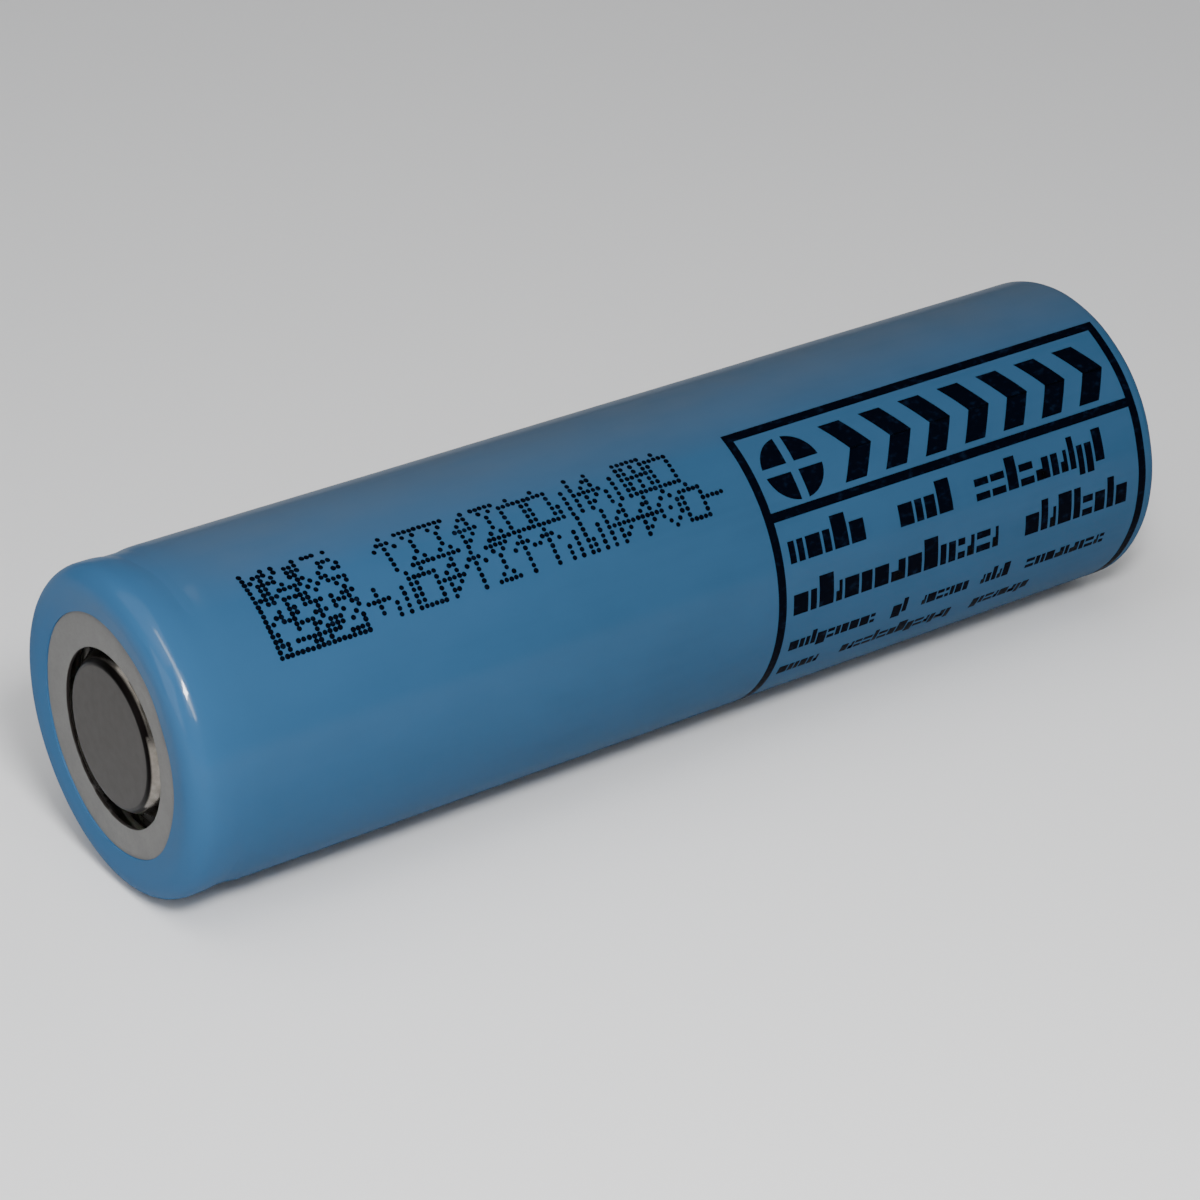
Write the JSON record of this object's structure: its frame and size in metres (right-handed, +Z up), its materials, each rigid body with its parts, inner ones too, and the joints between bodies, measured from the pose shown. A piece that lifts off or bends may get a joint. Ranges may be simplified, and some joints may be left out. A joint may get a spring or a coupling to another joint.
{
  "type": "cylindrical battery cell",
  "caption": "Cylindrical rechargeable cell with a flat vented top terminal, crimped steel can and glossy shrink sleeve, lying on its side.",
  "frame": {"origin": "on the line that the lying cell rests on, under its middle", "axes": "+X along the cell's axis towards the negative end, +Y across the cell, +Z up"},
  "size_m": [0.065, 0.0184, 0.0183],
  "materials": {
    "sleeve_film": "glossy shrunk film",
    "printed_ink": "dull ink",
    "white_fibre": "dull pressed fibre",
    "nickel_steel": "satin nickel plating",
    "matt_nickel_steel": "matt nickel plating",
    "natural_plastic": "satin, slightly cloudy",
    "aluminium_sheet": "rolled, satin",
    "aluminium_foil": "bright rolled foil",
    "copper_foil": "bright copper foil",
    "nickel_strip": "rolled nickel, satin",
    "amber_tape": "glossy polyimide film",
    "separator_film": "dull porous film",
    "graphite": "dull dark grey coating",
    "black_oxide": "dull black coating"
  },
  "bodies": {
    "root": {"shrink_sleeve": "sleeve_film", "top_insulator_ring": "white_fibre", "steel_can": "nickel_steel", "crimp_gasket": "natural_plastic", "positive_cap": "matt_nickel_steel", "burst_disc": "aluminium_sheet", "cid_insulator": "natural_plastic", "cid_plate": "aluminium_sheet", "positive_tab": "aluminium_foil", "positive_tab_tape": "amber_tape", "upper_insulator_disc": "white_fibre", "inner_separator": "separator_film", "anode_coating_inner": "graphite", "anode_foil": "copper_foil", "anode_coating_outer": "graphite", "outer_separator": "separator_film", "cathode_coating_inner": "black_oxide", "cathode_foil": "aluminium_foil", "cathode_coating_outer": "black_oxide", "roll_closing_tape": "amber_tape", "negative_tab": "nickel_strip", "negative_tab_tape": "amber_tape", "lower_insulator_disc": "white_fibre"}
  },
  "joints": []
}
